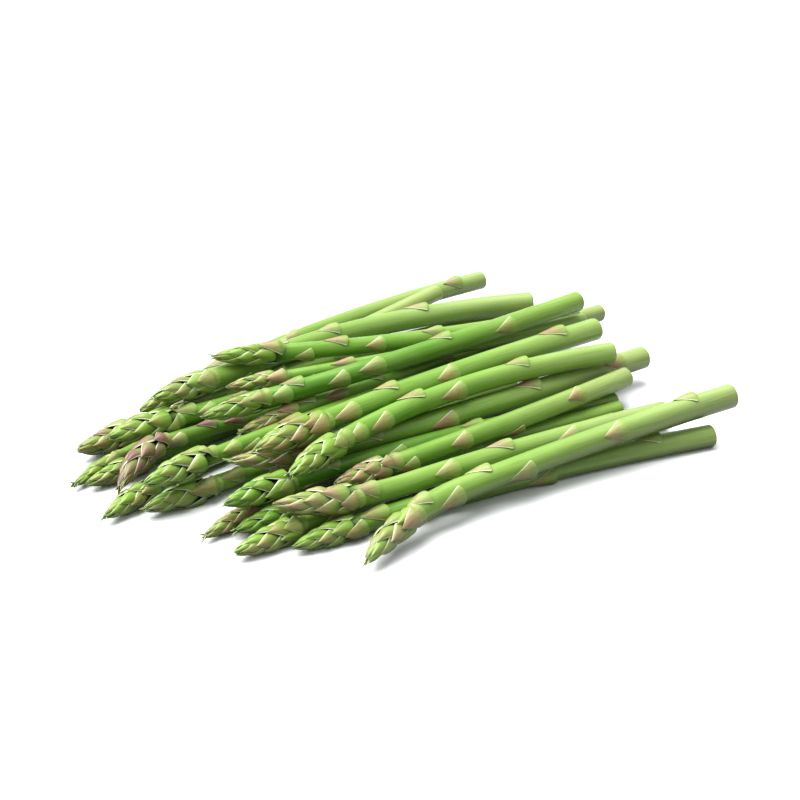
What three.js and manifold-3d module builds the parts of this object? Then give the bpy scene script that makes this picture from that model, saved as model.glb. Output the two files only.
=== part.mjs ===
// A loose bunch of green asparagus, lying in a heap with all its tips to one side.
// Millimetres, +X along the spears towards their cut butts, +Z up, standing on z = 0.
import * as THREE from 'three';
import { mergeVertices } from 'three/addons/utils/BufferGeometryUtils.js';
import Module from 'manifold-3d';

const wasm = await Module();
wasm.setup();

// Driving sizes of every spear
const COLUMNS = 5; // head scales side by side round a head
const SIDES = 2 * COLUMNS; // faces round a stalk
const STEP_ROUND = 360 / SIDES;
const STEM_RINGS = 7; // rings from the head to the butt
const BUTT_SWELL = 1.06; // a stalk thickens towards its cut end
const NECK = 0.94; // and is thinnest just under its head
const CORE = 0.8; // core of the head, beside the radius over its scales
const HEAD_ROWS = 6; // rows of scales down a head
const HEAD_START = 0.07; // where the first row's points stand, as a share of the head
const HEAD_TWIST = 9; // degrees that each row turns on, beyond half a scale
const ROW_SPREAD = 1.15; // the rows stand a little wider apart down the head
const CROWN_DOWN = 0.9; // a scale's crown lies this many rows below its point
const CROWN_ASIDE = 0.45; // and this many scales aside
const SCALE_LIFT = 0.55; // how far a scale's base stands off the stalk
const COVERED = 0.6; // the core is slimmest from the tip to here, as a share of the head
const BARE = 1.3; // and the bare stalk starts here
const TIP_RADIUS = 0.1; // the very tip, beside the head's radius
const TIP_CURVE = 0.9; // how full the head is between its tip and its widest part
const WIDEST = 0.62; // share of the head where it is widest
const HEAD_END = 1.35; // the head has run out into the stalk here
const NOD_REACH = 0.3; // share of a spear over which its head nods
const BRACT_LENGTH = 13; // a bract on the stalk, base to point
const BRACT_WIDTH = 60; // half of the way round that its base reaches, degrees
const BRACT_SUNK = 0.93; // its corners run into the stalk here, beside the stalk's radius
const BRACT_POINT = 0.5; // its point stands this much of SCALE_LIFT off the stalk
const BRACT_BACK = 1.4; // and the middle of its back this much
const BRACT_ROOT = 0.4; // its root inside the stalk, beside the stem's radius
const ROOT_UP = 0.25; // and this share of its length above its base

// Driving sizes of the heap
const GAP = 0.3; // clear space where two spears touch
const SKIN = 0.35; // the bracts stand this proud of a stalk where spears touch
const SAMPLES = 28; // stations along a spear where touching is looked for
const FAR = 10; // stations farther apart than this past touching are passed over
const FLOOR_PRESS = 0.25; // depth of the small flat spots on the lowest spears
const FLOOR_STATIONS = [0.1, 0.2, 0.5, 1]; // where a spear is kept off the floor, 0 tip to 1 butt
const SINK = 0.05; // how far every spear sinks in each of the first rounds
const SINK_ROUNDS = 60;
const CLEAR_ROUNDS = 80; // later rounds, which only push spears clear of each other
const SLAB_SIDE = 600; // the floor that cuts the flat spots
const SLAB_THICK = 20;

// Each spear: tip and butt as [x, y, height] before it settles, bow to the left, how far its head nods
// as [back, up, reach if it is not NOD_REACH], radius of head and stem, length of head, first scale's
// turn, and its bracts as [distance from tip, degrees from the top towards the front].
const SPEARS = [
  {
    id: '01', tip: [-62, 69, 35], butt: [132, 37, 20], bow: -8,
    head: 5, stem: 4.2, headLength: 34, turn: 20, finish: 'fresh',
    bracts: [[34, 20], [48, 110], [66, 0], [84, 75], [116, 20], [150, 95]],
  },
  {
    id: '02', tip: [-102, 48, 24], butt: [122, 60, 20], bow: 24, nod: [4, 6],
    head: 5.8, stem: 5.2, headLength: 36, turn: 140, finish: 'pale',
    bracts: [[38, 50], [60, 150], [88, -40], [118, 0], [170, -20]],
  },
  {
    id: '03', tip: [-66, 49, 28], butt: [128, 25, 22], bow: -3,
    head: 4.1, stem: 3.5, headLength: 30, turn: 75, finish: 'fresh',
    bracts: [[30, 60], [44, 130], [64, 20], [92, 80], [130, 0]],
  },
  {
    id: '04', tip: [-90, 29, 23], butt: [124, 25, 32], bow: -3,
    head: 4.6, stem: 4.7, headLength: 32, turn: 10, finish: 'deep',
    bracts: [[34, 40], [44, 70], [52, -10], [74, 80], [94, 60], [134, -20], [170, 75]],
  },
  {
    id: '05', tip: [-99, 60, 17], butt: [127, 72, 8], bow: 10,
    head: 4, stem: 3.5, headLength: 30, turn: 200, finish: 'pale',
    bracts: [[32, 30], [50, 90], [78, 10], [120, 60]],
  },
  {
    id: '06', tip: [-101, 66, 13], butt: [127, 108, 16], bow: 11,
    head: 4.6, stem: 4.6, headLength: 34, turn: 300, finish: 'pale',
    bracts: [[36, 70], [60, -20], [108, 40], [150, 150], [216, 20]],
  },
  {
    id: '07', tip: [-135, 4, 7], butt: [73, 12, 4], bow: 1,
    head: 5.8, stem: 4.2, headLength: 36, turn: 250, finish: 'fresh',
    bracts: [[38, 60], [50, 40], [70, 110], [100, -20]],
  },
  {
    id: '08', tip: [-128, 46, 20], butt: [87, 54, 9], bow: 2,
    head: 6, stem: 4.2, headLength: 36, turn: 0, finish: 'fresh',
    bracts: [[38, 90], [46, 10], [56, 70], [80, 20], [110, 90]],
  },
  {
    id: '09', tip: [-136, 66, 4], butt: [89, 97, 24], bow: 0, nod: [0, 5],
    head: 6.5, stem: 4, headLength: 38, turn: 60, finish: 'ripe',
    bracts: [[42, 20], [64, 100], [100, 10], [150, 60]],
  },
  {
    id: '10', tip: [-148, 50, 4], butt: [74, 80, 4], bow: 4, nod: [-8, 0],
    head: 3.8, stem: 3.5, headLength: 28, turn: 110, finish: 'fresh',
    bracts: [[30, 40], [48, 120], [80, 0]],
  },
  {
    id: '11', tip: [-144, 37, 6], butt: [69, 61, 4], bow: 3,
    head: 4.9, stem: 3.7, headLength: 32, turn: 190, finish: 'fresh',
    bracts: [[34, 90], [56, 0], [90, 60]],
  },
  {
    id: '12', tip: [-139, 37, 14], butt: [77, 47, 8], bow: 5, nod: [-18, -5, 0.17],
    head: 5.4, stem: 3.6, headLength: 34, turn: 280, finish: 'purple',
    bracts: [[36, 30], [44, 80], [62, 10], [78, 50], [104, 0]],
  },
  {
    id: '13', tip: [-136, 2, 17], butt: [88, 30, 5], bow: 5,
    head: 6, stem: 3.8, headLength: 36, turn: 30, finish: 'fresh',
    bracts: [[40, 20], [52, 60], [64, 110], [90, 0]],
  },
  {
    id: '14', tip: [-75, 15, 20], butt: [158, 46, 14], bow: 4,
    head: 4, stem: 4.3, headLength: 32, turn: 230, finish: 'ripe',
    bracts: [[32, 20], [44, -10], [62, 50], [86, 0], [130, 30], [212, -20]],
  },
  {
    id: '15', tip: [-89, -14, 28], butt: [119, 5, 27], bow: 5,
    head: 6.4, stem: 5.2, headLength: 40, turn: 90, finish: 'fresh',
    bracts: [[42, 70], [58, 70], [76, 150], [84, -20], [118, 60], [188, -10]],
  },
  {
    id: '16', tip: [-93, -12, 12], butt: [134, -16, 13], bow: -2, nod: [10, 3],
    head: 5.2, stem: 5.3, headLength: 36, turn: 320, finish: 'ripe',
    bracts: [[38, 60], [70, 20], [110, 90], [160, 0], [210, 40]],
  },
  {
    id: '17', tip: [-86, -37, 26], butt: [108, -20, 26], bow: 18,
    head: 5.6, stem: 4.8, headLength: 36, turn: 150, finish: 'fresh',
    bracts: [[40, 50], [49, 70], [66, 80], [90, -20], [112, 80], [150, -10]],
  },
  {
    id: '18', tip: [-113, -28, 15], butt: [103, -30, 4], bow: 7,
    head: 5.8, stem: 3.8, headLength: 34, turn: 45, finish: 'deep',
    bracts: [[36, 80], [60, 20], [96, 90], [140, 10]],
  },
  {
    id: '19', tip: [-64, -38, 16], butt: [110, -28, 14], bow: -2,
    head: 5.4, stem: 4.6, headLength: 30, turn: 270, finish: 'ripe',
    bracts: [[34, 40], [42, 110], [72, 70], [104, 150], [142, 50]],
  },
  {
    id: '20', tip: [-124, -33, 4], butt: [90, -6, 4], bow: 8,
    head: 4.1, stem: 3.5, headLength: 30, turn: 170, finish: 'ripe',
    bracts: [[32, 50], [52, 0], [70, 70], [104, 30]],
  },
  {
    id: '21', tip: [-112, -30, 9], butt: [99, -34, 4], bow: 5,
    head: 4.9, stem: 3.8, headLength: 32, turn: 215, finish: 'deep',
    bracts: [[34, 60], [52, 110], [84, 20], [130, 60]],
  },
  {
    id: '22', tip: [-100, -61, 13], butt: [108, -57, 8], bow: 5, nod: [12, 4],
    head: 5.8, stem: 4.9, headLength: 36, turn: 340, finish: 'pale',
    bracts: [[38, 80], [46, 30], [88, 60], [120, -10], [156, 70]],
  },
  {
    id: '23', tip: [-122, -51, 6], butt: [87, -50, 4], bow: 5,
    head: 5.4, stem: 4.2, headLength: 34, turn: 125, finish: 'fresh',
    bracts: [[36, 40], [54, 100], [86, 10]],
  },
  {
    id: '24', tip: [-99, -58, 5], butt: [113, -85, 5], bow: 7,
    head: 5.1, stem: 5, headLength: 32, turn: 5, finish: 'fresh',
    bracts: [[34, 90], [46, 20], [66, 80], [90, 40], [130, 110], [186, -10]],
  },
  {
    id: '25', tip: [-83, -72, 12], butt: [127, -82, 23], bow: 4, nod: [-18, -3],
    head: 5.4, stem: 5.5, headLength: 34, turn: 80, finish: 'pale',
    bracts: [[36, 60], [44, -10], [60, 90], [78, -30], [98, 100], [148, 60], [190, -20]],
  },
  {
    id: '26', tip: [-152, 8, 6], butt: [51, 22, 4], bow: 19,
    head: 5.4, stem: 4, headLength: 34, turn: 235, finish: 'fresh',
    bracts: [[36, 30], [54, 100], [84, 20]],
  },
];

// Colours from the photograph, one material for each shade of spear
const FINISHES = {
  fresh: new THREE.MeshStandardMaterial({ color: 0x7fae4e, roughness: 0.45, metalness: 0 }),
  pale: new THREE.MeshStandardMaterial({ color: 0x9cc26e, roughness: 0.42, metalness: 0 }),
  deep: new THREE.MeshStandardMaterial({ color: 0x5f9a3a, roughness: 0.45, metalness: 0 }),
  ripe: new THREE.MeshStandardMaterial({ color: 0x93a860, roughness: 0.5, metalness: 0 }),
  purple: new THREE.MeshStandardMaterial({ color: 0x86705a, roughness: 0.5, metalness: 0 }),
};

const UP = new THREE.Vector3(0, 0, 1);
const radians = THREE.MathUtils.degToRad;
const smooth = THREE.MathUtils.smoothstep;
const mix = THREE.MathUtils.lerp;

// The line down the middle of a spear, t = 0 at the tip and 1 at the butt
function middle(spear, t) {
  const point = spear.tipAt.clone().lerp(spear.buttAt, t);
  point.addScaledVector(spear.side, spear.bow * 4 * t * (1 - t));
  const [aside, above, reach = NOD_REACH] = spear.nod ?? [0, 0];
  const droop = Math.max(0, 1 - t / reach) ** 2;
  return point.add(new THREE.Vector3(0, aside * droop, above * droop));
}

// Radius over the scales at a distance from the tip, as a share of the head and then of the stem
function outerRadius(spear, distance) {
  const stem = spear.stem * mix(NECK, BUTT_SWELL, distance / spear.length);
  const share = distance / spear.headLength;
  if (share >= 1) return mix(spear.head, stem, smooth(share, 1, HEAD_END));
  const swell = Math.sin(Math.min(1, share / WIDEST) * Math.PI / 2) ** TIP_CURVE;
  return spear.head * mix(TIP_RADIUS, 1, swell);
}

// Radius of the solid under the scales
function coreRadius(spear, distance) {
  const cover = mix(CORE, 1, smooth(distance / spear.headLength, COVERED, BARE));
  return outerRadius(spear, distance) * cover;
}

// A point at an angle round the spear, 0 at the top and 90 at the front
function around(spear, distance, degrees, radius) {
  const t = distance / spear.length;
  const centre = middle(spear, t);
  const along = middle(spear, t + 0.01).sub(middle(spear, t - 0.01)).normalize();
  const up = UP.clone().addScaledVector(along, -UP.dot(along)).normalize();
  const front = along.clone().cross(up);
  const angle = radians(degrees);
  centre.addScaledVector(up, Math.cos(angle) * radius);
  return centre.addScaledVector(front, Math.sin(angle) * radius);
}

// How the heap settles: spears sink a little, stay on the floor and push each other clear
function startSpear(spear) {
  spear.tipAt = new THREE.Vector3(...spear.tip);
  spear.buttAt = new THREE.Vector3(...spear.butt);
  spear.length = spear.tipAt.distanceTo(spear.buttAt);
  const chord = spear.buttAt.clone().sub(spear.tipAt).setZ(0).normalize();
  spear.side = UP.clone().cross(chord);
  spear.radii = [];
  for (let k = 0; k < SAMPLES; k++) {
    spear.radii.push(outerRadius(spear, spear.length * k / (SAMPLES - 1)));
  }
}

function stations(spear) {
  return spear.radii.map((_, k) => middle(spear, k / (SAMPLES - 1)));
}

// The deepest place where two spears press into each other
function deepestTouch(one, other) {
  const ours = stations(one);
  const theirs = stations(other);
  const piece = new THREE.Line3();
  const near = new THREE.Vector3();
  let best = null;
  for (let i = 0; i < SAMPLES; i++) {
    for (let j = 0; j < SAMPLES - 1; j++) {
      const reach = one.radii[i] + Math.max(other.radii[j], other.radii[j + 1]) + 2 * SKIN + GAP;
      if (Math.abs(ours[i].x - theirs[j].x) > reach + FAR) continue;
      piece.set(theirs[j], theirs[j + 1]);
      const share = piece.closestPointToPointParameter(ours[i], true);
      piece.at(share, near);
      const distance = near.distanceTo(ours[i]);
      const radius = mix(other.radii[j], other.radii[j + 1], share);
      const depth = one.radii[i] + radius + 2 * SKIN + GAP - distance;
      if (depth > 0 && (!best || depth > best.depth)) {
        const away = ours[i].clone().sub(near).normalize();
        best = { depth, away, s: i / (SAMPLES - 1), t: (j + share) / (SAMPLES - 1) };
      }
    }
  }
  return best;
}

function shove(spear, t, step, direction) {
  spear.tipAt.addScaledVector(direction, step * (1 - t));
  spear.buttAt.addScaledVector(direction, step * t);
}

function settleOnce(sink) {
  for (const spear of SPEARS) {
    spear.tipAt.z -= sink;
    spear.buttAt.z -= sink;
  }
  for (let i = 0; i < SPEARS.length; i++) {
    for (let j = i + 1; j < SPEARS.length; j++) {
      const touch = deepestTouch(SPEARS[i], SPEARS[j]);
      if (!touch) continue;
      const { s, t } = touch;
      const step = touch.depth / ((1 - s) ** 2 + s ** 2 + (1 - t) ** 2 + t ** 2);
      shove(SPEARS[i], s, step, touch.away);
      shove(SPEARS[j], t, -step, touch.away);
    }
  }
  for (const spear of SPEARS) {
    for (const t of FLOOR_STATIONS) {
      const floor = outerRadius(spear, t * spear.length) * Math.cos(Math.PI / SIDES) - FLOOR_PRESS;
      const lift = floor - middle(spear, t).z;
      if (lift > 0) shove(spear, t, lift / ((1 - t) ** 2 + t ** 2), UP);
    }
  }
}

SPEARS.forEach(startSpear);
for (let round = 0; round < SINK_ROUNDS; round++) settleOnce(SINK);
for (let round = 0; round < CLEAR_ROUNDS; round++) settleOnce(0);

// Solids
function solid(points, faces) {
  const vertProperties = new Float32Array(points.flatMap((p) => [p.x, p.y, p.z]));
  const triVerts = new Uint32Array(faces.flat());
  return new wasm.Manifold(new wasm.Mesh({ numProp: 3, vertProperties, triVerts }));
}

// Where the points of the head's scales lie: rows of them spiral down the head, each row half a scale
// round from the last
function headPoint(spear, row, column, radius) {
  const distance = spear.headLength * mix(HEAD_START, 1, (row / HEAD_ROWS) ** ROW_SPREAD);
  const degrees = spear.turn + (column + row / 2) * 360 / COLUMNS + HEAD_TWIST * row;
  return around(spear, distance, degrees, radius(spear, distance));
}

// The stalk and its head in one skin. Each head scale is a raised kite: its point stands off the head,
// and its other corners run under the points of the scales around it.
function stalk(spear) {
  const points = [middle(spear, 0)];
  const faces = [];
  const add = (point) => points.push(point) - 1;
  const under = [];
  for (let row = 0; row <= HEAD_ROWS + 1; row++) {
    under.push([]);
    for (let column = 0; column < COLUMNS; column++) {
      under[row].push(add(headPoint(spear, row, column, coreRadius)));
    }
  }
  const wrap = (column) => (column + COLUMNS) % COLUMNS;
  for (let column = 0; column < COLUMNS; column++) {
    faces.push([0, under[1][column], under[0][column]]);
    faces.push([0, under[0][wrap(column + 1)], under[1][column]]);
  }
  for (let row = 0; row < HEAD_ROWS; row++) {
    for (let column = 0; column < COLUMNS; column++) {
      const point = add(headPoint(spear, row, column, (s, d) => outerRadius(s, d) + SCALE_LIFT));
      const crown = add(headPoint(spear, row + CROWN_DOWN, column - CROWN_ASIDE, outerRadius));
      const left = under[row + 1][wrap(column - 1)];
      const right = under[row + 1][column];
      const root = under[row + 2][wrap(column - 1)];
      faces.push([point, right, crown], [right, root, crown], [root, left, crown], [left, point, crown]);
      faces.push([point, under[row][column], right], [point, left, under[row][column]]);
    }
  }
  let ring = [];
  for (let column = 0; column < COLUMNS; column++) {
    ring.push(under[HEAD_ROWS][column], under[HEAD_ROWS + 1][column]);
  }
  const turned = spear.turn + HEAD_ROWS * (180 / COLUMNS + HEAD_TWIST);
  const firstFace = Math.round(turned / STEP_ROUND - 0.5);
  for (let k = 0; k < STEM_RINGS; k++) {
    const distance = mix(HEAD_END * spear.headLength, spear.length, k / (STEM_RINGS - 1));
    const next = ring.map((_, face) => {
      const degrees = (firstFace + face + 0.5) * STEP_ROUND;
      return add(around(spear, distance, degrees, coreRadius(spear, distance)));
    });
    ring.forEach((corner, face) => {
      const beside = (face + 1) % SIDES;
      faces.push([corner, next[beside], next[face]], [corner, ring[beside], next[beside]]);
    });
    ring = next;
  }
  const butt = add(middle(spear, 1));
  ring.forEach((corner, face) => faces.push([butt, corner, ring[(face + 1) % SIDES]]));
  return solid(points, faces);
}

// A pointed bract, its base at a distance from the tip, its root in the middle of the stalk
function bract(spear, base, degrees) {
  const half = base - 0.5 * BRACT_LENGTH;
  const end = base - BRACT_LENGTH;
  const points = [
    around(spear, base, degrees - BRACT_WIDTH, BRACT_SUNK * outerRadius(spear, base)),
    around(spear, base + 1, degrees, outerRadius(spear, base) + SCALE_LIFT),
    around(spear, base, degrees + BRACT_WIDTH, BRACT_SUNK * outerRadius(spear, base)),
    around(spear, end, degrees, outerRadius(spear, end) + BRACT_POINT * SCALE_LIFT),
    around(spear, half, degrees, outerRadius(spear, half) + BRACT_BACK * SCALE_LIFT),
    around(spear, base - ROOT_UP * BRACT_LENGTH, degrees, BRACT_ROOT * spear.stem),
  ];
  const faces = [];
  for (let k = 0; k < 4; k++) faces.push([(k + 1) % 4, k, 4], [k, (k + 1) % 4, 5]);
  return solid(points, faces);
}

// A spear: its stalk and head, and the bracts down the stalk, grown as one
function grow(spear) {
  const bracts = spear.bracts.map(([distance, degrees]) => bract(spear, distance, degrees));
  return bracts.reduce((body, one) => body.add(one), stalk(spear));
}

// The floor cuts the small flat spots that the lowest spears rest on
function floorSlab() {
  const slab = new THREE.BoxGeometry(SLAB_SIDE, SLAB_SIDE, SLAB_THICK).translate(0, 0, -SLAB_THICK / 2);
  slab.deleteAttribute('normal');
  slab.deleteAttribute('uv');
  const merged = mergeVertices(slab);
  return new wasm.Manifold(new wasm.Mesh({
    numProp: 3,
    vertProperties: merged.attributes.position.array,
    triVerts: new Uint32Array(merged.index.array),
  }));
}

const slab = floorSlab();
const bodies = SPEARS.map((spear) => grow(spear).subtract(slab));

// The heap stands with the middle of its box over the origin
const box = new THREE.Box3();
for (const body of bodies) {
  const { min, max } = body.boundingBox();
  box.expandByPoint(new THREE.Vector3(...min)).expandByPoint(new THREE.Vector3(...max));
}
const centre = box.getCenter(new THREE.Vector3());

const asparagus = new THREE.Group();
bodies.forEach((body, k) => {
  const mesh = body.getMesh();
  const geometry = new THREE.BufferGeometry();
  geometry.setAttribute('position', new THREE.BufferAttribute(mesh.vertProperties, 3));
  geometry.setIndex(new THREE.BufferAttribute(mesh.triVerts, 1));
  const spear = new THREE.Mesh(geometry, FINISHES[SPEARS[k].finish]);
  spear.name = `spear_${SPEARS[k].id}`;
  spear.position.set(-centre.x, -centre.y, 0);
  asparagus.add(spear);
});

export default asparagus;
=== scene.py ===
import math
import random

import bmesh
import bpy
import numpy as np
from mathutils import Matrix, Vector


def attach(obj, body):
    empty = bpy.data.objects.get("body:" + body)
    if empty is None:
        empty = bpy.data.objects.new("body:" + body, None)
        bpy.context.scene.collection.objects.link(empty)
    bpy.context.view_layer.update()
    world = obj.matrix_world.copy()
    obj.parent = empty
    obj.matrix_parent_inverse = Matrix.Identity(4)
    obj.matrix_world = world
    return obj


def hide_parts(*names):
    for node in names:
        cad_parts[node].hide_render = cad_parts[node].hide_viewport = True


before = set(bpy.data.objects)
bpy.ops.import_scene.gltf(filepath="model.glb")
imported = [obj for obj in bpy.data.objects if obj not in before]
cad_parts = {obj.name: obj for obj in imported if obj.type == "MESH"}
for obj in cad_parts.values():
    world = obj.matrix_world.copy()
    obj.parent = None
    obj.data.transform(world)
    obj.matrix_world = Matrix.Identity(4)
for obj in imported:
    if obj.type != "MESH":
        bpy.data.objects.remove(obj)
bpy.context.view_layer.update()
MM = 0.001

# The view: the heap is seen from its front left, looking down at about 26 degrees through a long
# lens, as in the photograph.
AZIMUTH = math.radians(-35)
ELEVATION = math.radians(26)
CAMERA_DISTANCE = 0.870
LENS = 85
SENSOR = 36
HEAP_MIDDLE = Vector((-0.0034, -0.0113, 0.016))
AIM_LEFT = 0.0023
AIM_UP = 0.00415
back = Vector(
    (
        math.sin(AZIMUTH) * math.cos(ELEVATION),
        -math.cos(AZIMUTH) * math.cos(ELEVATION),
        math.sin(ELEVATION),
    )
)
right = Vector((math.cos(AZIMUTH), math.sin(AZIMUTH), 0))
above = back.cross(right)
aim = HEAP_MIDDLE - right * AIM_LEFT + above * AIM_UP
camera_data = bpy.data.cameras.new("camera")
camera_data.lens = LENS
camera_data.sensor_width = SENSOR
camera = bpy.data.objects.new("camera", camera_data)
camera.matrix_world = Matrix.Translation(aim + back * CAMERA_DISTANCE) @ Matrix(
    (right, above, back)
).transposed().to_4x4()
bpy.context.scene.collection.objects.link(camera)
bpy.context.scene.camera = camera

# The studio: a plain white floor, a white surround that is dark below, and one very wide soft light
# from overhead and a little behind, so that shadows stay close under the heap. The floor throws no
# light back up, so the gaps between the spears stay dark.
SUN_HEIGHT = math.radians(68)
SUN_FROM = math.radians(25)
SUN_WIDTH = math.radians(64)
SUN_STRENGTH = 5.0
SKY = 0.92
BELOW = 0.03
DARK_UP_TO = -0.1
LIGHT_FROM = 0.35
VIEW_GAMMA = 0.78
FLOOR_SIZE = 40.0
FLOOR_WHITE = (0.90, 0.91, 0.93, 1)
sun_data = bpy.data.lights.new("overhead_light", "SUN")
sun_data.energy = SUN_STRENGTH
sun_data.angle = SUN_WIDTH
sun = bpy.data.objects.new("overhead_light", sun_data)
sun_way = Vector(
    (
        -math.sin(SUN_FROM) * math.cos(SUN_HEIGHT),
        math.cos(SUN_FROM) * math.cos(SUN_HEIGHT),
        math.sin(SUN_HEIGHT),
    )
)
sun.rotation_mode = "QUATERNION"
sun.rotation_quaternion = sun_way.to_track_quat("Z", "Y")
bpy.context.scene.collection.objects.link(sun)

world = bpy.data.worlds.new("surround")
world.use_nodes = True
surround = world.node_tree.nodes["Background"]
surround.inputs["Color"].default_value = (1, 1, 1, 1)
way = world.node_tree.nodes.new("ShaderNodeTexCoord")
height = world.node_tree.nodes.new("ShaderNodeSeparateXYZ")
fade = world.node_tree.nodes.new("ShaderNodeMapRange")
fade.interpolation_type = "SMOOTHSTEP"
fade.inputs["From Min"].default_value = DARK_UP_TO
fade.inputs["From Max"].default_value = LIGHT_FROM
fade.inputs["To Min"].default_value = BELOW
fade.inputs["To Max"].default_value = SKY
world.node_tree.links.new(way.outputs["Generated"], height.inputs[0])
world.node_tree.links.new(height.outputs["Z"], fade.inputs["Value"])
world.node_tree.links.new(fade.outputs[0], surround.inputs["Strength"])
bpy.context.scene.world = world
bpy.context.scene.view_settings.view_transform = "Standard"
bpy.context.scene.view_settings.gamma = VIEW_GAMMA

floor_mesh = bpy.data.meshes.new("floor")
sheet = bmesh.new()
bmesh.ops.create_grid(sheet, x_segments=1, y_segments=1, size=FLOOR_SIZE / 2)
sheet.to_mesh(floor_mesh)
sheet.free()
floor = bpy.data.objects.new("floor", floor_mesh)
bpy.context.scene.collection.objects.link(floor)
floor_white = bpy.data.materials.new("floor_white")
floor_white.use_nodes = True
floor_shader = floor_white.node_tree.nodes["Principled BSDF"]
floor_shader.inputs["Base Color"].default_value = FLOOR_WHITE
floor_shader.inputs["Roughness"].default_value = 0.9
floor_shader.inputs["Specular IOR Level"].default_value = 0.1
floor_mesh.materials.append(floor_white)
floor.visible_diffuse = False

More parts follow.
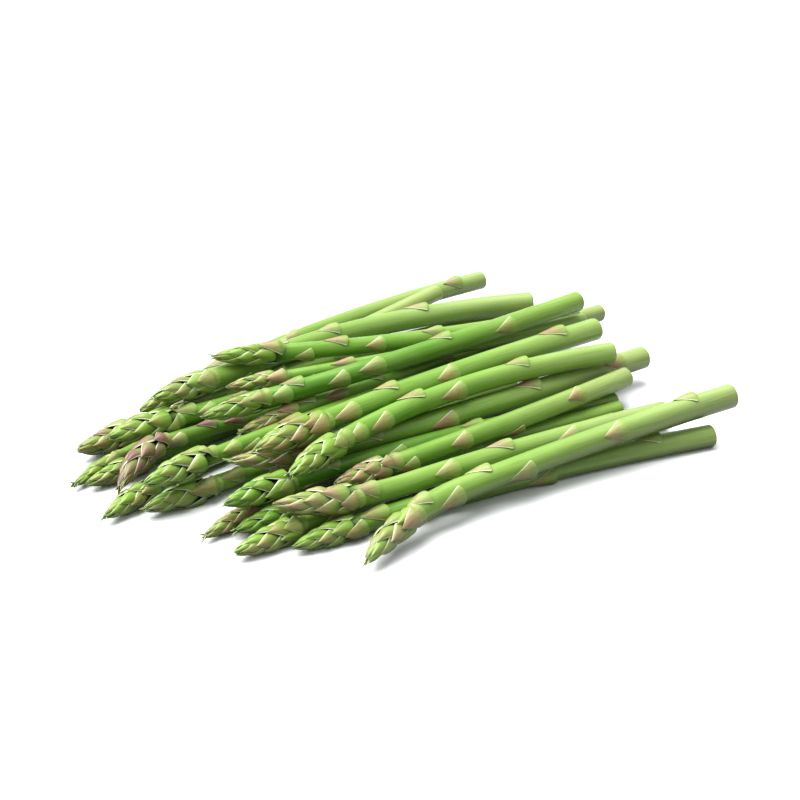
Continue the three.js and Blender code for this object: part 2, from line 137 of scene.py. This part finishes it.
# The spears: each is one young asparagus shoot, cut at the butt. They lie loose on each other, tips
# together, where the frame has settled them. Every spear has its own bow, nod, girth and bracts, the
# last as millimetres from its tip and degrees from its top towards its front.
SPEARS = {
    "spear_01": dict(
        bow=-8, head=5.0, stem=4.2, reach=34, turn=20, finish="fresh", blush=0.35, ragged=2,
        bracts=[(34, 20), (48, 110), (66, 0), (84, 75), (116, 20), (150, 95)],
    ),
    "spear_02": dict(
        bow=24, nod=(4, 6), head=5.8, stem=5.2, reach=36, turn=140, finish="pale", blush=0.35, ragged=0,
        bracts=[(38, 50), (60, 150), (88, -40), (118, 0), (170, -20)],
    ),
    "spear_03": dict(
        bow=-3, head=4.1, stem=3.5, reach=30, turn=75, finish="fresh", blush=0.7, ragged=1,
        bracts=[(30, 60), (44, 130), (64, 20), (92, 80), (130, 0)],
    ),
    "spear_04": dict(
        bow=-3, head=4.6, stem=4.7, reach=32, turn=10, finish="deep", blush=0.5, ragged=0,
        bracts=[(34, 40), (44, 70), (52, -10), (74, 80), (94, 60), (134, -20), (170, 75)],
    ),
    "spear_05": dict(
        bow=10, head=4.0, stem=3.5, reach=30, turn=200, finish="pale", blush=0.35, ragged=0,
        bracts=[(32, 30), (50, 90), (78, 10), (120, 60)],
    ),
    "spear_06": dict(
        bow=11, head=4.6, stem=4.6, reach=34, turn=300, finish="pale", blush=0.5, ragged=0,
        bracts=[(36, 70), (60, -20), (108, 40), (150, 150), (216, 20)],
    ),
    "spear_07": dict(
        bow=1, head=5.8, stem=4.2, reach=36, turn=250, finish="fresh", blush=0.35, ragged=3,
        bracts=[(38, 60), (50, 40), (70, 110), (100, -20)],
    ),
    "spear_08": dict(
        bow=2, head=6.0, stem=4.2, reach=36, turn=0, finish="fresh", blush=0.2, ragged=0,
        bracts=[(38, 90), (46, 10), (56, 70), (80, 20), (110, 90)],
    ),
    "spear_09": dict(
        bow=0, nod=(0, 5), head=6.5, stem=4.0, reach=38, turn=60, finish="ripe", blush=0.65, ragged=0,
        bracts=[(42, 20), (64, 100), (100, 10), (150, 60)],
    ),
    "spear_10": dict(
        bow=4, nod=(-8, 0), head=3.8, stem=3.5, reach=28, turn=110, finish="fresh", blush=0.3,
        ragged=8, bracts=[(30, 40), (48, 120), (80, 0)],
    ),
    "spear_11": dict(
        bow=3, head=4.9, stem=3.7, reach=32, turn=190, finish="fresh", blush=0.35, ragged=0,
        bracts=[(34, 90), (56, 0), (90, 60)],
    ),
    "spear_12": dict(
        bow=5, nod=(-18, -5, 0.17), head=5.4, stem=3.6, reach=34, turn=280, finish="purple", blush=1.0,
        ragged=4, bracts=[(36, 30), (44, 80), (62, 10), (78, 50), (104, 0)],
    ),
    "spear_13": dict(
        bow=5, head=6.0, stem=3.8, reach=36, turn=30, finish="fresh", blush=0.15, ragged=2,
        bracts=[(40, 20), (52, 60), (64, 110), (90, 0)],
    ),
    "spear_14": dict(
        bow=4, head=4.0, stem=4.3, reach=32, turn=230, finish="ripe", blush=0.8, ragged=6,
        bracts=[(32, 20), (44, -10), (62, 50), (86, 0), (130, 30), (212, -20)],
    ),
    "spear_15": dict(
        bow=5, head=6.4, stem=5.2, reach=40, turn=90, finish="fresh", blush=0.6, ragged=3,
        bracts=[(42, 70), (58, 70), (76, 150), (84, -20), (118, 60), (188, -10)],
    ),
    "spear_16": dict(
        bow=-2, nod=(10, 3), head=5.2, stem=5.3, reach=36, turn=320, finish="ripe", blush=0.85,
        ragged=7, bracts=[(38, 60), (70, 20), (110, 90), (160, 0), (210, 40)],
    ),
    "spear_17": dict(
        bow=18, head=5.6, stem=4.8, reach=36, turn=150, finish="fresh", blush=0.25, ragged=9,
        bracts=[(40, 50), (49, 70), (66, 80), (90, -20), (112, 80), (150, -10)],
    ),
    "spear_18": dict(
        bow=7, head=5.8, stem=3.8, reach=34, turn=45, finish="deep", blush=0.25, ragged=2,
        bracts=[(36, 80), (60, 20), (96, 90), (140, 10)],
    ),
    "spear_19": dict(
        bow=-2, head=5.4, stem=4.6, reach=30, turn=270, finish="ripe", blush=1.0, ragged=0,
        bracts=[(34, 40), (42, 110), (72, 70), (104, 150), (142, 50)],
    ),
    "spear_20": dict(
        bow=8, head=4.1, stem=3.5, reach=30, turn=170, finish="ripe", blush=0.5, ragged=3,
        bracts=[(32, 50), (52, 0), (70, 70), (104, 30)],
    ),
    "spear_21": dict(
        bow=5, head=4.9, stem=3.8, reach=32, turn=215, finish="deep", blush=0.15, ragged=4,
        bracts=[(34, 60), (52, 110), (84, 20), (130, 60)],
    ),
    "spear_22": dict(
        bow=5, nod=(12, 4), head=5.8, stem=4.9, reach=36, turn=340, finish="pale", blush=0.8,
        ragged=0, bracts=[(38, 80), (46, 30), (88, 60), (120, -10), (156, 70)],
    ),
    "spear_23": dict(
        bow=5, head=5.4, stem=4.2, reach=34, turn=125, finish="fresh", blush=0.4, ragged=0,
        bracts=[(36, 40), (54, 100), (86, 10)],
    ),
    "spear_24": dict(
        bow=7, head=5.1, stem=5.0, reach=32, turn=5, finish="fresh", blush=0.3, ragged=1,
        bracts=[(34, 90), (46, 20), (66, 80), (90, 40), (130, 110), (186, -10)],
    ),
    "spear_25": dict(
        bow=4, nod=(-18, -3), head=5.4, stem=5.5, reach=34, turn=80, finish="pale", blush=0.45,
        ragged=2,
        bracts=[(36, 60), (44, -10), (60, 90), (78, -30), (98, 100), (148, 60), (190, -20)],
    ),
    "spear_26": dict(
        bow=19, head=5.4, stem=4.0, reach=34, turn=235, finish="fresh", blush=0.4, ragged=2,
        bracts=[(36, 30), (54, 100), (84, 20)],
    ),
}
NOD_REACH = 0.3
BUTT_SLAB = 4.0
STATIONS = np.linspace(-0.04, 1.02, 260)


def settle_line(name, spear):
    """Finds where the frame's spear lies and lays the line down its middle, in millimetres."""
    points = np.array([v.co[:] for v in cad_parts[name].data.vertices]) / MM
    aside, higher, nod_reach = (*spear.get("nod", (0, 0)), NOD_REACH)[:3]
    tip = points[points[:, 0].argmin()]
    spans = np.linalg.norm(points - tip, axis=1)
    cut = np.unique(points[spans > spans.max() - BUTT_SLAB].round(2), axis=0).mean(axis=0)
    tip = tip - (0, aside, higher)
    chord = cut - tip
    side = np.cross((0, 0, 1), chord * (1, 1, 0))
    side /= np.linalg.norm(side)
    t = STATIONS[:, None]
    nodding = np.maximum(0, 1 - t / nod_reach) ** 2
    centre = tip + chord * t + side * spear["bow"] * 4 * t * (1 - t)
    centre += np.array((0, aside, higher)) * nodding
    along = np.gradient(centre, axis=0)
    along /= np.linalg.norm(along, axis=1)[:, None]
    up = (0, 0, 1) - along * along[:, 2:]
    up /= np.linalg.norm(up, axis=1)[:, None]
    spear["line"] = (centre, up, np.cross(along, up))
    spear["length"] = np.linalg.norm(chord)


def ease(x, start, end):
    """Rises smoothly from 0 at start to 1 at end."""
    x = np.clip((x - start) / (end - start), 0, 1)
    return x * x * (3 - 2 * x)


FLOOR_CLEAR = 0.02


def place(spear, distance, degrees, radius):
    """Points round a spear in metres, none under the floor. 0 degrees is its top and 90 its front."""
    t = distance / spear["length"]
    centre, up, front = (
        np.stack([np.interp(t, STATIONS, part[:, k]) for k in range(3)], axis=-1)
        for part in spear["line"]
    )
    angle = np.radians(degrees)[:, None]
    points = centre + radius[:, None] * (np.cos(angle) * up + np.sin(angle) * front)
    points[:, 2] = np.maximum(points[:, 2], FLOOR_CLEAR)
    return points * MM


NECK = 0.94
BUTT_SWELL = 0.12
WIDEST = 0.62
TIP_CURVE = 0.9
TIP_RADIUS = 0.1
HEAD_END = 1.35
HIDDEN_CORE = 0.72
CORE_RETURNS = (0.7, 1.05)


def bare(spear, distance):
    """Radius of the bare stem."""
    return spear["stem"] * (NECK + BUTT_SWELL * distance / spear["length"])


def girth(spear, distance):
    """Radius of a spear over its scales."""
    stem = bare(spear, distance)
    share = distance / spear["reach"]
    rise = np.sin(np.clip(share / WIDEST, 0, 1) * math.pi / 2) ** TIP_CURVE
    head = spear["head"] * (TIP_RADIUS + (1 - TIP_RADIUS) * rise)
    below = spear["head"] + (stem - spear["head"]) * ease(share, 1, HEAD_END)
    return np.where(share < 1, head, below)


def core(spear, distance):
    """Radius of the stalk, which runs on slimmer under the scales of the head."""
    stem = bare(spear, distance)
    returning = ease(distance / spear["reach"], *CORE_RETURNS)
    hidden = HIDDEN_CORE * girth(spear, distance) + (1 - HIDDEN_CORE) * stem * returning
    return np.minimum(stem, hidden)


# The stalk of each spear: a smooth waxy green stem with faint lengthwise fibres. It swells a little
# where each bract grows, thickens to the butt, and ends in a clean cut with a rounded rim. Between the
# head's scales it is painted dark green as shade.
STALK_SIDES = 28
STALK_RINGS = 125
STALK_START = 0.04
PAD_LENGTH = 4
PAD_HALF = 40
PAD_SWELL = 0.22
BRACT_ROOT = 0.6
RING_LENGTH = 1.1
RING_SWELL = 0.1
FLUTES = (3, 5)
FLUTE_DEPTH = 0.007
FLUTE_DRIFT = (20, 50)
PAINTED_SHADE_FROM = (1.1, 0.8)
PAINTED_SHADE_TO = (0.08, 0.2)
RIM = 1.2 * MM
RIM_STEPS = 4
CUT_DISH = 0.25 * MM


def mark(vert, layers, lie, **values):
    """Notes where a point lies on its spear and what grows there, for the skin's colours."""
    vert[layers["lie"]] = lie
    for key, value in values.items():
        vert[layers[key]] = value


def lies_at(radius, degrees, distance):
    turn = math.radians(degrees)
    return (radius * math.cos(turn), radius * math.sin(turn), distance)


def butt_face(skin):
    flat = (face for face in skin.faces if len(face.verts) > 4)
    return max(flat, key=lambda face: face.calc_center_median().x)


def grow_stalk(skin, layers, spear, chance):
    tube = bmesh.ops.create_cone(
        skin, cap_ends=True, segments=STALK_SIDES, radius1=1, radius2=1, depth=1
    )["verts"]
    lengthwise = dict.fromkeys(
        edge
        for vert in tube
        for edge in vert.link_edges
        if abs(edge.verts[0].co.z - edge.verts[1].co.z) > 0.5
    )
    bmesh.ops.subdivide_edges(skin, edges=list(lengthwise), cuts=STALK_RINGS)
    verts = list(skin.verts)
    straight = np.array([vert.co[:] for vert in verts])
    first = STALK_START * spear["reach"]
    distance = first + (straight[:, 2] + 0.5) * (spear["length"] - first)
    degrees = np.degrees(np.arctan2(straight[:, 1], straight[:, 0]))
    radius = core(spear, distance)
    for base, where in spear["bracts"]:
        apart = (degrees - where + 180) % 360 - 180
        down = (distance - base + PAD_LENGTH) / PAD_LENGTH
        pad = np.exp(-(down**2) - (apart / PAD_HALF) ** 2)
        ring = np.exp(-(((distance - base - BRACT_ROOT) / RING_LENGTH) ** 2))
        radius += PAD_SWELL * pad + RING_SWELL * ring
    for flutes in FLUTES:
        start = chance.uniform(0, 6.3)
        drift = chance.uniform(*FLUTE_DRIFT)
        radius *= 1 + FLUTE_DEPTH * np.sin(flutes * np.radians(degrees) + start + distance / drift)
    points = place(spear, distance, degrees, radius)
    for vert, point, far, angle, r in zip(verts, points, distance, degrees, radius):
        vert.co = point
        share = far / spear["reach"]
        # Painted shade: the stalk between the head's scales is marked here to be painted dark green, as
        # the shade in the gaps.
        gap = float(ease(share, *PAINTED_SHADE_FROM) * ease(share, *PAINTED_SHADE_TO))
        mark(vert, layers, lies_at(r, angle, far), along=far / spear["length"], gap=gap)
    bmesh.ops.recalc_face_normals(skin, faces=skin.faces[:])
    bmesh.ops.bevel(
        skin,
        geom=butt_face(skin).edges[:],
        offset=RIM,
        segments=RIM_STEPS,
        affect="EDGES",
        profile=0.5,
        material=-1,
    )
    cut_face = butt_face(skin)
    rim = bmesh.ops.inset_individual(skin, faces=[cut_face], thickness=RIM, depth=0)
    for face in rim["faces"]:
        for vert in face.verts:
            vert[layers["cut"]] = 0.5
    middle = bmesh.ops.poke(skin, faces=[cut_face], offset=-CUT_DISH)
    for vert in middle["verts"]:
        vert[layers["cut"]] = 1
        for edge in vert.link_edges:
            edge.other_vert(vert)[layers["cut"]] = 1


# The blades: every leaf on a spear is a small pointed scale that hugs it and points to the tip. Each
# is laid as a flat sheet, curled onto the spear, and thickened once all of them lie.
LEAF_THICK = 0.28 * MM


def lay_blade(skin, layers, spear, shape, columns, rows, **values):
    """Curls a sheet onto the spear: shape turns across and reach into distance, degrees and radius."""
    sheet = bmesh.ops.create_grid(skin, x_segments=columns, y_segments=rows, size=0.5)["verts"]
    flat = np.array([vert.co[:] for vert in sheet])
    across = flat[:, 0] * 2
    reach = flat[:, 1] + 0.5
    distance, degrees, radius = shape(across, reach)
    points = place(spear, distance, degrees, radius)
    for vert, point, u, v, far, angle, r in zip(
        sheet, points, across, reach, distance, degrees, radius
    ):
        vert.co = point
        along = far / spear["length"]
        mark(vert, layers, lies_at(r, angle, far), across=u, reach=v, along=along, **values)
    faces = list(dict.fromkeys(face for vert in sheet for face in vert.link_faces))
    hub = Vector(place(spear, distance[:1], degrees[:1], radius[:1] * 0)[0])
    middle = faces[len(faces) // 2]
    middle.normal_update()
    if middle.normal.dot(middle.calc_center_median() - hub) < 0:
        bmesh.ops.reverse_faces(skin, faces=faces)
    return faces


# Bracts: the triangular scales down the stalk. Each clasps the stalk over more than a third of the
# way round at a raised shoulder, lies close, and dries from pale green to tan and pink at its point,
# with a thin papery white edge. The crease at its foot is painted dark as shade.
BRACT_LENGTH = 13.2
BRACT_SIZES = (0.8, 1.15)
USUAL_STEM = 4.4
BRACT_HALF = 66
BRACT_FOOT = 0.72
BRACT_BELLY = 0.14
BRACT_POINT = 0.012
BRACT_LIFT = 0.5
CORNERS_UP = 1.3
SHOULDER = 1.05
STAND = 0.2
SWELL = 0.8
TUCKED = 0.4
OVER_HEAD = (1.1, 0.9)
BRACT_GRID = (10, 14)


def grow_bracts(skin, layers, spear, chance):
    faces = []
    for base, where in spear["bracts"]:
        size = chance.uniform(*BRACT_SIZES) * (0.65 + 0.35 * spear["stem"] / USUAL_STEM)
        lift = chance.uniform(0.0, BRACT_LIFT)
        lean = chance.uniform(-6, 6)

        def shape(across, reach):
            reach = reach**1.5
            outward = ease(reach, -0.005, 0.05)
            width = (BRACT_FOOT + (1 - BRACT_FOOT) * ease(reach, 0, BRACT_BELLY)) * (1 - reach) ** 0.9
            degrees = where + lean * reach + BRACT_HALF * across * np.maximum(width, BRACT_POINT)
            distance = base + BRACT_ROOT - (BRACT_LENGTH * size + BRACT_ROOT) * reach
            distance = distance - CORNERS_UP * across**2 * (1 - reach) ** 2
            over_head = ease(distance / spear["reach"], *OVER_HEAD)
            bed = np.maximum(core(spear, distance), (girth(spear, distance) + 0.6) * over_head)
            crown = SHOULDER * (1 - reach) ** 1.6 + STAND
            swell = SWELL * (1 - across**2) * np.sin(math.pi * reach**0.6)
            stand = outward * (crown * (1 - 0.35 * across**2) + swell) + lift * reach**3
            return distance, degrees, bed + stand - TUCKED * (1 - outward)

        faces += lay_blade(
            skin,
            layers,
            spear,
            shape,
            *BRACT_GRID,
            leaf=1.0,
            blush=min(1.0, 0.3 + 0.5 * spear["blush"] + chance.uniform(-0.2, 0.35)),
            tone=chance.uniform(-1, 1),
        )
    return faces


# The head: plump pointed scales, set in a spiral round the end of the shoot. The lower ones lap over
# the feet of the upper ones and are plumper and blunter. The first few close over the tip, and dark
# gaps show between them all, shaded by the scales and also painted dark as shade on the stalk under
# them and on the scales' feet.
HEAD_SCALES = 19
CLOSED = 4
GOLDEN_TURN = 137.5
SPIRAL_SPAN = 0.62
SCALE_HALF = 60
SCALE_LIFT = 0.3
SCALE_FOOT = 0.78
SCALE_BELLY = 0.3
SCALE_POINT = 0.02
USUAL_HEAD = 5
SUNK = 0.97
SCALE_GRID = (8, 12)


def grow_head(skin, layers, spear, chance):
    faces = []
    for count in range(HEAD_SCALES):
        share = max(0, count + 1 - CLOSED) / (HEAD_SCALES - CLOSED)
        tip = spear["reach"] * SPIRAL_SPAN * share**1.1 - chance.uniform(0, 0.5)
        foot = tip + spear["reach"] * (0.34 + 0.04 * share) * chance.uniform(0.95, 1.06)
        turn = spear["turn"] + GOLDEN_TURN * count + chance.uniform(-9, 9)
        half = (SCALE_HALF - 2 * share) * chance.uniform(0.94, 1.06)
        lean = chance.uniform(-8, 8)
        lift = chance.uniform(0.0, SCALE_LIFT)
        plump = (0.35 + 0.45 * share) * chance.uniform(0.85, 1.15) * spear["head"] / USUAL_HEAD
        blunt = float(ease(share, 0.55, 0.9))

        def shape(across, reach):
            past_belly = np.clip(reach - SCALE_BELLY, 0, 1) / (1 - SCALE_BELLY)
            wide = np.where(
                reach < SCALE_BELLY,
                SCALE_FOOT + (1 - SCALE_FOOT) * ease(reach, 0, SCALE_BELLY),
                1 - past_belly**1.15,
            )
            degrees = turn + lean * reach + half * across * np.maximum(wide, SCALE_POINT)
            distance = foot + (tip - foot) * reach
            rise = ease(reach, 0, 0.75 - 0.6 * blunt)
            outer = girth(spear, distance)
            inner = core(spear, distance) * SUNK
            belly = np.sin(math.pi * reach ** (1 - 0.45 * blunt)) ** 0.8
            radius = inner + (outer - inner) * rise * (1 - 0.3 * across**2)
            radius = radius + plump * (1 - across**2) * belly
            return distance, degrees, radius + lift * reach**4

        faces += lay_blade(
            skin,
            layers,
            spear,
            shape,
            *SCALE_GRID,
            leaf=0.5,
            blush=min(1.0, max(0.0, spear["blush"] + chance.uniform(-0.35, 0.25))),
            tone=chance.uniform(-1, 1),
        )
    return faces


# Ragged tips: the youngest scales are narrow and pale and sit at the very tip. On some spears a few of
# them have opened out into a small tuft.
TUFT_LENGTH = 4
TUFT_FOOT = (2.0, 3.5)
TUFT_RADIUS = 0.7
TUFT_HALF = 0.8
TUFT_SPLAY = (0.3, 1.8)
TUFT_GRID = (2, 5)


def grow_tuft(skin, layers, spear, chance):
    faces = []
    for blade in range(spear["ragged"]):
        turn = spear["turn"] + blade * GOLDEN_TURN
        foot = chance.uniform(*TUFT_FOOT)
        length = TUFT_LENGTH * chance.uniform(0.7, 1.2)
        splay = chance.uniform(*TUFT_SPLAY)
        bend = chance.uniform(-25, 25)

        def shape(across, reach):
            distance = foot - length * reach
            radius = TUFT_RADIUS + splay * reach**1.5
            wide = TUFT_HALF * (1 - reach**2) + 0.05
            return distance, turn + bend * reach + np.degrees(wide * across / radius), radius

        faces += lay_blade(
            skin, layers, spear, shape, *TUFT_GRID, leaf=0.5, blush=0.1, tone=1.0
        )
    return faces


# The finishes: the same living skin in five shades. Stalks are waxy green, paler to the butt. Scales
# run from green at the foot to tan, pink or purple at the point, with a thin white margin. Each also
# has a dark green that is painted as shade between the head's scales and at every scale's foot, and
# that also streaks the fibres and ribs.
FINISHES = {
    "fresh": dict(
        slot="green_spear", stalk=(0.18, 0.35, 0.04), butt=(0.31, 0.43, 0.13),
        leaf=(0.22, 0.37, 0.055), blush=(0.36, 0.25, 0.13), gap=(0.015, 0.045, 0.005),
    ),
    "pale": dict(
        slot="pale_spear", stalk=(0.22, 0.37, 0.065), butt=(0.33, 0.43, 0.16),
        leaf=(0.27, 0.39, 0.10), blush=(0.37, 0.28, 0.16), gap=(0.025, 0.06, 0.01),
    ),
    "deep": dict(
        slot="deep_green_spear", stalk=(0.11, 0.28, 0.015), butt=(0.25, 0.39, 0.08),
        leaf=(0.16, 0.33, 0.03), blush=(0.27, 0.25, 0.09), gap=(0.012, 0.04, 0.005),
    ),
    "ripe": dict(
        slot="blushed_spear", stalk=(0.18, 0.33, 0.045), butt=(0.34, 0.42, 0.16),
        leaf=(0.25, 0.34, 0.08), blush=(0.32, 0.20, 0.12), gap=(0.03, 0.04, 0.01),
    ),
    "purple": dict(
        slot="purple_tipped_spear", stalk=(0.15, 0.28, 0.04), butt=(0.29, 0.40, 0.12),
        leaf=(0.24, 0.26, 0.10), blush=(0.25, 0.13, 0.11), gap=(0.03, 0.035, 0.012),
    ),
}
PALE_STREAK = (0.34, 0.46, 0.15)
YOUNG_LEAF = (0.25, 0.41, 0.05)
DRY_LEAF = (0.36, 0.45, 0.17)
MARGIN = (0.62, 0.66, 0.50)
CUT_FLESH = (0.45, 0.52, 0.22)
FIBRES = (2.2, 2.2, 0.07)
CLOUDS = (0.12, 0.12, 0.035)
SPECKLE = (3.0, 3.0, 2.0)
RIBS = (1.6, 1.6, 0.12)
FIBRE_DEPTH = 0.25 * MM


class SkinNodes:
    """Adds the nodes of one skin one after another. Inputs are named, or i and their number."""

    def __init__(self, name):
        self.material = bpy.data.materials.new(name)
        self.material.use_nodes = True
        self.tree = self.material.node_tree
        self.shader = self.tree.nodes["Principled BSDF"]

    def add(self, kind, settings, **inputs):
        node = self.tree.nodes.new(kind)
        for key, value in settings.items():
            setattr(node, key, value)
        for key, value in inputs.items():
            numbered = key[0] == "i" and key[1:].isdigit()
            self.feed(node.inputs[int(key[1:]) if numbered else key], value)
        return node

    def feed(self, slot, value):
        if isinstance(value, bpy.types.NodeSocket):
            self.tree.links.new(value, slot)
        elif isinstance(value, tuple) and slot.type == "RGBA":
            slot.default_value = (*value, 1)
        else:
            slot.default_value = value

    def read(self, name, output="Fac"):
        return self.add("ShaderNodeAttribute", dict(attribute_name=name)).outputs[output]

    def maths(self, operation, one, two=0.0, clamp=False):
        node = self.add("ShaderNodeMath", dict(operation=operation, use_clamp=clamp), i0=one, i1=two)
        return node.outputs[0]

    def blend(self, share, one, two):
        node = self.add("ShaderNodeMix", dict(data_type="RGBA"), i0=share, i6=one, i7=two)
        return node.outputs[2]

    def span(self, value, low, high, to_low=0.0, to_high=1.0):
        node = self.add(
            "ShaderNodeMapRange",
            dict(interpolation_type="SMOOTHSTEP"),
            i0=value, i1=low, i2=high, i3=to_low, i4=to_high,
        )
        return node.outputs[0]

    def noise(self, vector, stretch, detail):
        lay = self.add("ShaderNodeMapping", {}, Vector=vector, Scale=stretch)
        node = self.add("ShaderNodeTexNoise", {}, Vector=lay.outputs[0], Scale=1.0, Detail=detail)
        return node.outputs[0]


def spear_skin(finish):
    """One shade of living skin."""
    shades = FINISHES[finish]
    looks = SkinNodes(shades["slot"])
    lie = looks.read("lie", "Vector")
    along = looks.read("along")
    leaf = looks.read("leaf")
    across = looks.maths("ABSOLUTE", looks.read("across"))
    reach = looks.read("reach")
    blush = looks.read("blush")
    tone = looks.read("tone")
    fibres = looks.noise(lie, FIBRES, 4.0)
    clouds = looks.noise(lie, CLOUDS, 2.0)
    speckle = looks.noise(lie, SPECKLE, 2.0)

    stalk = looks.blend(looks.span(along, 0.35, 1.0), shades["stalk"], shades["butt"])
    paler = looks.blend(0.35, stalk, PALE_STREAK)
    stalk = looks.blend(looks.span(clouds, 0.35, 0.7), stalk, paler)
    darker = looks.blend(0.4, stalk, shades["gap"])
    stalk = looks.blend(looks.span(fibres, 0.45, 0.8, 0.0, 0.6), stalk, darker)
    # Painted shade: the marked stalk under the head takes the dark green, as the shade between the
    # scales.
    stalk = looks.blend(looks.read("gap"), stalk, shades["gap"])

    blushing = looks.maths("MULTIPLY", blush, 1.2)
    drying = looks.maths("MULTIPLY", looks.span(reach, 0.1, 0.85), blushing)
    patchy = looks.maths("ADD", drying, looks.span(clouds, 0.3, 0.75, -0.12, 0.15), clamp=True)
    green = looks.blend(looks.span(tone, -1.0, 1.0, 0.0, 0.45), shades["leaf"], YOUNG_LEAF)
    dry = looks.blend(looks.span(leaf, 0.6, 0.9, 0.0, 0.4), green, DRY_LEAF)
    blade = looks.blend(patchy, dry, shades["blush"])
    ribs = looks.noise(lie, RIBS, 3.0)
    blade = looks.blend(looks.span(ribs, 0.4, 0.8, 0.0, 0.3), blade, shades["gap"])
    # Painted shade: the foot of every bract and head scale, in the crease where it leaves the stalk, is
    # painted dark green as shade.
    blade = looks.blend(looks.span(reach, 0.09, 0.02, 0.0, 0.85), blade, shades["gap"])
    edge = looks.maths("ADD", across, looks.span(leaf, 0.9, 0.6, 0.0, 0.06))
    papery = looks.maths("MULTIPLY", looks.span(edge, 0.88, 0.96), looks.span(reach, 0.05, 0.25))
    blade = looks.blend(looks.maths("MULTIPLY", papery, 0.85), blade, MARGIN)

    colour = looks.blend(looks.span(leaf, 0.1, 0.4), stalk, blade)
    colour = looks.blend(looks.read("cut"), colour, CUT_FLESH)
    looks.feed(looks.shader.inputs["Base Color"], colour)
    rough = looks.span(leaf, 0.0, 1.0, 0.33, 0.46)
    rough = looks.maths("ADD", rough, looks.span(speckle, 0.3, 0.7, -0.05, 0.07))
    looks.feed(looks.shader.inputs["Roughness"], rough)
    looks.shader.inputs["Specular IOR Level"].default_value = 0.6
    looks.shader.inputs["Coat Weight"].default_value = 0.15
    looks.shader.inputs["Coat Roughness"].default_value = 0.28
    height = looks.maths("ADD", fibres, looks.maths("MULTIPLY", speckle, 0.4))
    bump = looks.add("ShaderNodeBump", {}, Strength=0.25, Distance=FIBRE_DEPTH, Height=height)
    looks.feed(looks.shader.inputs["Normal"], bump.outputs[0])
    return looks.material


skins = {finish: spear_skin(finish) for finish in FINISHES}

# Growing the spears: stalk, bracts, head and tuft of one spear are one living piece, so they make one
# object, which stands for the frame's plainer spear of that number.
for number, (name, spear) in enumerate(SPEARS.items(), start=1):
    chance = random.Random(number)
    settle_line(name, spear)
    skin = bmesh.new()
    layers = {"lie": skin.verts.layers.float_vector.new("lie")}
    for key in ("along", "leaf", "across", "reach", "blush", "tone", "gap", "cut"):
        layers[key] = skin.verts.layers.float.new(key)
    grow_stalk(skin, layers, spear, chance)
    blades = grow_bracts(skin, layers, spear, chance)
    blades += grow_head(skin, layers, spear, chance)
    blades += grow_tuft(skin, layers, spear, chance)
    bmesh.ops.solidify(skin, geom=blades, thickness=LEAF_THICK)
    bmesh.ops.recalc_face_normals(skin, faces=skin.faces[:])
    for face in skin.faces:
        face.smooth = True
    mesh = bpy.data.meshes.new("grown_" + name)
    skin.to_mesh(mesh)
    skin.free()
    mesh.set_sharp_from_angle(angle=math.radians(50))
    mesh.materials.append(skins[spear["finish"]])
    grown = bpy.data.objects.new("grown_" + name, mesh)
    bpy.context.scene.collection.objects.link(grown)
    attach(grown, "root")
    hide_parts(name)
